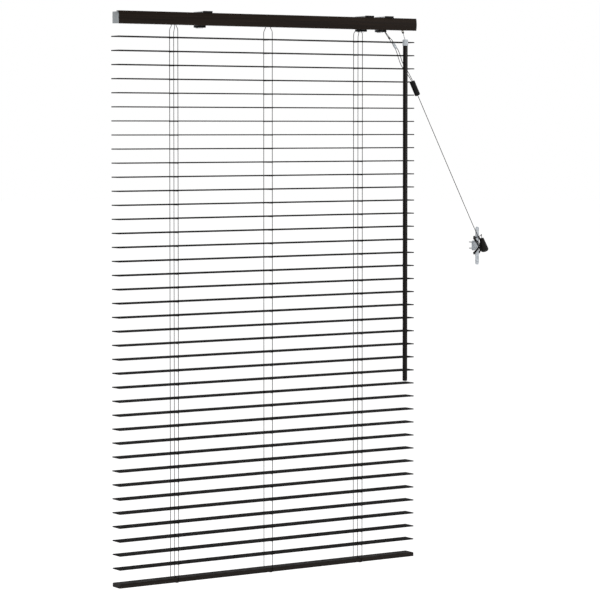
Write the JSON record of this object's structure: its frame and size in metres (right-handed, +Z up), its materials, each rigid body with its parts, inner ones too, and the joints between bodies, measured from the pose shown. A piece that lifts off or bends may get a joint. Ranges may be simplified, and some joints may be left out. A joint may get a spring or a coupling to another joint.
{
  "type": "venetian blind",
  "caption": "Venetian blind with flat black-brown wooden slats on three ladders, a headrail with wand tilter and cord lock, and a wall cleat for the cord.",
  "frame": {"origin": "on the wall plane behind the headrail, at its middle in length and height", "axes": "+X along the headrail to the viewer's right, +Y back into the wall, +Z up"},
  "size_m": [1.039, 0.0753, 1.2826],
  "materials": {
    "headrail_steel": "silver grey paint, satin",
    "cap_plastic": "grey moulded plastic, matt",
    "valance_plastic": "very dark brown, faint woodgrain, satin",
    "bracket_steel": "zinc plated",
    "black_plastic": "black moulded plastic, fine grain",
    "rod_steel": "drawn steel",
    "white_plastic": "natural nylon",
    "clear_plastic": "clear moulded plastic, slightly milky",
    "wand_plastic": "black, glossy, faceted",
    "cord_black": "braided polyester",
    "slat_wood": "near black lacquer, satin",
    "rail_wood": "very dark brown lacquer, satin"
  },
  "bodies": {
    "frame": {"headrail": "headrail_steel", "headrail_end_caps": "cap_plastic", "valance": "valance_plastic", "mounting_brackets": "bracket_steel", "bracket_clips": "black_plastic", "drum_cradles": "white_plastic", "tilter_housing": "white_plastic", "cord_lock": "white_plastic", "ladder_cords": "cord_black", "lift_cords": "cord_black", "pull_strands": "cord_black", "pull_cord": "cord_black", "cord_joiner": "black_plastic", "cord_cleat": "clear_plastic", "cord_tassel": "black_plastic"},
    "tilt_shaft": {"tilt_rod": "rod_steel", "ladder_drums": "white_plastic"},
    "worm": {"tilter_worm": "black_plastic"},
    "wand": {"wand": "wand_plastic"},
    "lock_roller": {"cord_lock_roller": "rod_steel"},
    "bottom_rail": {"bottom_rail": "rail_wood"},
    "slat_01": {"slat_01": "slat_wood"},
    "slat_02": {"slat_02": "slat_wood"},
    "slat_03": {"slat_03": "slat_wood"},
    "slat_04": {"slat_04": "slat_wood"},
    "slat_05": {"slat_05": "slat_wood"},
    "slat_06": {"slat_06": "slat_wood"},
    "slat_07": {"slat_07": "slat_wood"},
    "slat_08": {"slat_08": "slat_wood"},
    "slat_09": {"slat_09": "slat_wood"},
    "slat_10": {"slat_10": "slat_wood"},
    "slat_11": {"slat_11": "slat_wood"},
    "slat_12": {"slat_12": "slat_wood"},
    "slat_13": {"slat_13": "slat_wood"},
    "slat_14": {"slat_14": "slat_wood"},
    "slat_15": {"slat_15": "slat_wood"},
    "slat_16": {"slat_16": "slat_wood"},
    "slat_17": {"slat_17": "slat_wood"},
    "slat_18": {"slat_18": "slat_wood"},
    "slat_19": {"slat_19": "slat_wood"},
    "slat_20": {"slat_20": "slat_wood"},
    "slat_21": {"slat_21": "slat_wood"},
    "slat_22": {"slat_22": "slat_wood"},
    "slat_23": {"slat_23": "slat_wood"},
    "slat_24": {"slat_24": "slat_wood"},
    "slat_25": {"slat_25": "slat_wood"},
    "slat_26": {"slat_26": "slat_wood"},
    "slat_27": {"slat_27": "slat_wood"},
    "slat_28": {"slat_28": "slat_wood"},
    "slat_29": {"slat_29": "slat_wood"},
    "slat_30": {"slat_30": "slat_wood"},
    "slat_31": {"slat_31": "slat_wood"},
    "slat_32": {"slat_32": "slat_wood"},
    "slat_33": {"slat_33": "slat_wood"},
    "slat_34": {"slat_34": "slat_wood"},
    "slat_35": {"slat_35": "slat_wood"},
    "slat_36": {"slat_36": "slat_wood"},
    "slat_37": {"slat_37": "slat_wood"},
    "slat_38": {"slat_38": "slat_wood"},
    "slat_39": {"slat_39": "slat_wood"}
  },
  "joints": [
    {"name": "tilt", "type": "hinge", "parent": "frame", "child": "tilt_shaft", "pos_m": [0, -0.022, 0.002], "axis": [1, 0, 0], "range_deg": [-75, 75]},
    {"name": "worm_turn", "type": "hinge", "parent": "frame", "child": "worm", "pos_m": [0.3665, -0.0393, -0.018], "axis": [0, 0.4226, 0.9063], "range_deg": [-900, 900]},
    {"name": "wand_turn", "type": "hinge", "parent": "frame", "child": "wand", "pos_m": [0.3665, -0.04933, -0.0395], "axis": [0, 0, 1], "range_deg": [-900, 900]},
    {"name": "lock_roller_slide", "type": "slide", "parent": "frame", "child": "lock_roller", "axis": [1, 0, 0], "range_m": [-0.005, 0]},
    {"name": "bottom_rail_tilt", "type": "hinge", "parent": "frame", "child": "bottom_rail", "pos_m": [0, -0.022, -1.2595], "axis": [1, 0, 0], "range_deg": [-45, 45]},
    {"name": "slat_01_tilt", "type": "hinge", "parent": "frame", "child": "slat_01", "pos_m": [0, -0.022, -0.0418], "axis": [1, 0, 0], "range_deg": [-75, 75]},
    {"name": "slat_02_tilt", "type": "hinge", "parent": "frame", "child": "slat_02", "pos_m": [0, -0.022, -0.07288], "axis": [1, 0, 0], "range_deg": [-75, 75]},
    {"name": "slat_03_tilt", "type": "hinge", "parent": "frame", "child": "slat_03", "pos_m": [0, -0.022, -0.10396], "axis": [1, 0, 0], "range_deg": [-75, 75]},
    {"name": "slat_04_tilt", "type": "hinge", "parent": "frame", "child": "slat_04", "pos_m": [0, -0.022, -0.13504], "axis": [1, 0, 0], "range_deg": [-75, 75]},
    {"name": "slat_05_tilt", "type": "hinge", "parent": "frame", "child": "slat_05", "pos_m": [0, -0.022, -0.16612], "axis": [1, 0, 0], "range_deg": [-75, 75]},
    {"name": "slat_06_tilt", "type": "hinge", "parent": "frame", "child": "slat_06", "pos_m": [0, -0.022, -0.1972], "axis": [1, 0, 0], "range_deg": [-75, 75]},
    {"name": "slat_07_tilt", "type": "hinge", "parent": "frame", "child": "slat_07", "pos_m": [0, -0.022, -0.22828], "axis": [1, 0, 0], "range_deg": [-75, 75]},
    {"name": "slat_08_tilt", "type": "hinge", "parent": "frame", "child": "slat_08", "pos_m": [0, -0.022, -0.25936], "axis": [1, 0, 0], "range_deg": [-75, 75]},
    {"name": "slat_09_tilt", "type": "hinge", "parent": "frame", "child": "slat_09", "pos_m": [0, -0.022, -0.29044], "axis": [1, 0, 0], "range_deg": [-75, 75]},
    {"name": "slat_10_tilt", "type": "hinge", "parent": "frame", "child": "slat_10", "pos_m": [0, -0.022, -0.32152], "axis": [1, 0, 0], "range_deg": [-75, 75]},
    {"name": "slat_11_tilt", "type": "hinge", "parent": "frame", "child": "slat_11", "pos_m": [0, -0.022, -0.3526], "axis": [1, 0, 0], "range_deg": [-75, 75]},
    {"name": "slat_12_tilt", "type": "hinge", "parent": "frame", "child": "slat_12", "pos_m": [0, -0.022, -0.38368], "axis": [1, 0, 0], "range_deg": [-75, 75]},
    {"name": "slat_13_tilt", "type": "hinge", "parent": "frame", "child": "slat_13", "pos_m": [0, -0.022, -0.41476], "axis": [1, 0, 0], "range_deg": [-75, 75]},
    {"name": "slat_14_tilt", "type": "hinge", "parent": "frame", "child": "slat_14", "pos_m": [0, -0.022, -0.44584], "axis": [1, 0, 0], "range_deg": [-75, 75]},
    {"name": "slat_15_tilt", "type": "hinge", "parent": "frame", "child": "slat_15", "pos_m": [0, -0.022, -0.47692], "axis": [1, 0, 0], "range_deg": [-75, 75]},
    {"name": "slat_16_tilt", "type": "hinge", "parent": "frame", "child": "slat_16", "pos_m": [0, -0.022, -0.508], "axis": [1, 0, 0], "range_deg": [-75, 75]},
    {"name": "slat_17_tilt", "type": "hinge", "parent": "frame", "child": "slat_17", "pos_m": [0, -0.022, -0.53908], "axis": [1, 0, 0], "range_deg": [-75, 75]},
    {"name": "slat_18_tilt", "type": "hinge", "parent": "frame", "child": "slat_18", "pos_m": [0, -0.022, -0.57016], "axis": [1, 0, 0], "range_deg": [-75, 75]},
    {"name": "slat_19_tilt", "type": "hinge", "parent": "frame", "child": "slat_19", "pos_m": [0, -0.022, -0.60124], "axis": [1, 0, 0], "range_deg": [-75, 75]},
    {"name": "slat_20_tilt", "type": "hinge", "parent": "frame", "child": "slat_20", "pos_m": [0, -0.022, -0.63232], "axis": [1, 0, 0], "range_deg": [-75, 75]},
    {"name": "slat_21_tilt", "type": "hinge", "parent": "frame", "child": "slat_21", "pos_m": [0, -0.022, -0.6634], "axis": [1, 0, 0], "range_deg": [-75, 75]},
    {"name": "slat_22_tilt", "type": "hinge", "parent": "frame", "child": "slat_22", "pos_m": [0, -0.022, -0.69448], "axis": [1, 0, 0], "range_deg": [-75, 75]},
    {"name": "slat_23_tilt", "type": "hinge", "parent": "frame", "child": "slat_23", "pos_m": [0, -0.022, -0.72556], "axis": [1, 0, 0], "range_deg": [-75, 75]},
    {"name": "slat_24_tilt", "type": "hinge", "parent": "frame", "child": "slat_24", "pos_m": [0, -0.022, -0.75664], "axis": [1, 0, 0], "range_deg": [-75, 75]},
    {"name": "slat_25_tilt", "type": "hinge", "parent": "frame", "child": "slat_25", "pos_m": [0, -0.022, -0.78772], "axis": [1, 0, 0], "range_deg": [-75, 75]},
    {"name": "slat_26_tilt", "type": "hinge", "parent": "frame", "child": "slat_26", "pos_m": [0, -0.022, -0.8188], "axis": [1, 0, 0], "range_deg": [-75, 75]},
    {"name": "slat_27_tilt", "type": "hinge", "parent": "frame", "child": "slat_27", "pos_m": [0, -0.022, -0.84988], "axis": [1, 0, 0], "range_deg": [-75, 75]},
    {"name": "slat_28_tilt", "type": "hinge", "parent": "frame", "child": "slat_28", "pos_m": [0, -0.022, -0.88096], "axis": [1, 0, 0], "range_deg": [-75, 75]},
    {"name": "slat_29_tilt", "type": "hinge", "parent": "frame", "child": "slat_29", "pos_m": [0, -0.022, -0.91204], "axis": [1, 0, 0], "range_deg": [-75, 75]},
    {"name": "slat_30_tilt", "type": "hinge", "parent": "frame", "child": "slat_30", "pos_m": [0, -0.022, -0.94312], "axis": [1, 0, 0], "range_deg": [-75, 75]},
    {"name": "slat_31_tilt", "type": "hinge", "parent": "frame", "child": "slat_31", "pos_m": [0, -0.022, -0.9742], "axis": [1, 0, 0], "range_deg": [-75, 75]},
    {"name": "slat_32_tilt", "type": "hinge", "parent": "frame", "child": "slat_32", "pos_m": [0, -0.022, -1.00528], "axis": [1, 0, 0], "range_deg": [-75, 75]},
    {"name": "slat_33_tilt", "type": "hinge", "parent": "frame", "child": "slat_33", "pos_m": [0, -0.022, -1.03636], "axis": [1, 0, 0], "range_deg": [-75, 75]},
    {"name": "slat_34_tilt", "type": "hinge", "parent": "frame", "child": "slat_34", "pos_m": [0, -0.022, -1.06744], "axis": [1, 0, 0], "range_deg": [-75, 75]},
    {"name": "slat_35_tilt", "type": "hinge", "parent": "frame", "child": "slat_35", "pos_m": [0, -0.022, -1.09852], "axis": [1, 0, 0], "range_deg": [-75, 75]},
    {"name": "slat_36_tilt", "type": "hinge", "parent": "frame", "child": "slat_36", "pos_m": [0, -0.022, -1.1296], "axis": [1, 0, 0], "range_deg": [-75, 75]},
    {"name": "slat_37_tilt", "type": "hinge", "parent": "frame", "child": "slat_37", "pos_m": [0, -0.022, -1.16068], "axis": [1, 0, 0], "range_deg": [-75, 75]},
    {"name": "slat_38_tilt", "type": "hinge", "parent": "frame", "child": "slat_38", "pos_m": [0, -0.022, -1.19176], "axis": [1, 0, 0], "range_deg": [-75, 75]},
    {"name": "slat_39_tilt", "type": "hinge", "parent": "frame", "child": "slat_39", "pos_m": [0, -0.022, -1.22284], "axis": [1, 0, 0], "range_deg": [-75, 75]}
  ],
  "couplings": [
    {"joint": "worm_turn", "follows": "tilt", "ratio": 12},
    {"joint": "wand_turn", "follows": "tilt", "ratio": 12},
    {"joint": "bottom_rail_tilt", "follows": "tilt", "ratio": 0.6},
    {"joint": "slat_01_tilt", "follows": "tilt", "ratio": 1},
    {"joint": "slat_02_tilt", "follows": "tilt", "ratio": 1},
    {"joint": "slat_03_tilt", "follows": "tilt", "ratio": 1},
    {"joint": "slat_04_tilt", "follows": "tilt", "ratio": 1},
    {"joint": "slat_05_tilt", "follows": "tilt", "ratio": 1},
    {"joint": "slat_06_tilt", "follows": "tilt", "ratio": 1},
    {"joint": "slat_07_tilt", "follows": "tilt", "ratio": 1},
    {"joint": "slat_08_tilt", "follows": "tilt", "ratio": 1},
    {"joint": "slat_09_tilt", "follows": "tilt", "ratio": 1},
    {"joint": "slat_10_tilt", "follows": "tilt", "ratio": 1},
    {"joint": "slat_11_tilt", "follows": "tilt", "ratio": 1},
    {"joint": "slat_12_tilt", "follows": "tilt", "ratio": 1},
    {"joint": "slat_13_tilt", "follows": "tilt", "ratio": 1},
    {"joint": "slat_14_tilt", "follows": "tilt", "ratio": 1},
    {"joint": "slat_15_tilt", "follows": "tilt", "ratio": 1},
    {"joint": "slat_16_tilt", "follows": "tilt", "ratio": 1},
    {"joint": "slat_17_tilt", "follows": "tilt", "ratio": 1},
    {"joint": "slat_18_tilt", "follows": "tilt", "ratio": 1},
    {"joint": "slat_19_tilt", "follows": "tilt", "ratio": 1},
    {"joint": "slat_20_tilt", "follows": "tilt", "ratio": 1},
    {"joint": "slat_21_tilt", "follows": "tilt", "ratio": 1},
    {"joint": "slat_22_tilt", "follows": "tilt", "ratio": 1},
    {"joint": "slat_23_tilt", "follows": "tilt", "ratio": 1},
    {"joint": "slat_24_tilt", "follows": "tilt", "ratio": 1},
    {"joint": "slat_25_tilt", "follows": "tilt", "ratio": 1},
    {"joint": "slat_26_tilt", "follows": "tilt", "ratio": 1},
    {"joint": "slat_27_tilt", "follows": "tilt", "ratio": 1},
    {"joint": "slat_28_tilt", "follows": "tilt", "ratio": 1},
    {"joint": "slat_29_tilt", "follows": "tilt", "ratio": 1},
    {"joint": "slat_30_tilt", "follows": "tilt", "ratio": 1},
    {"joint": "slat_31_tilt", "follows": "tilt", "ratio": 1},
    {"joint": "slat_32_tilt", "follows": "tilt", "ratio": 1},
    {"joint": "slat_33_tilt", "follows": "tilt", "ratio": 1},
    {"joint": "slat_34_tilt", "follows": "tilt", "ratio": 1},
    {"joint": "slat_35_tilt", "follows": "tilt", "ratio": 1},
    {"joint": "slat_36_tilt", "follows": "tilt", "ratio": 1},
    {"joint": "slat_37_tilt", "follows": "tilt", "ratio": 1},
    {"joint": "slat_38_tilt", "follows": "tilt", "ratio": 1},
    {"joint": "slat_39_tilt", "follows": "tilt", "ratio": 1}
  ]
}
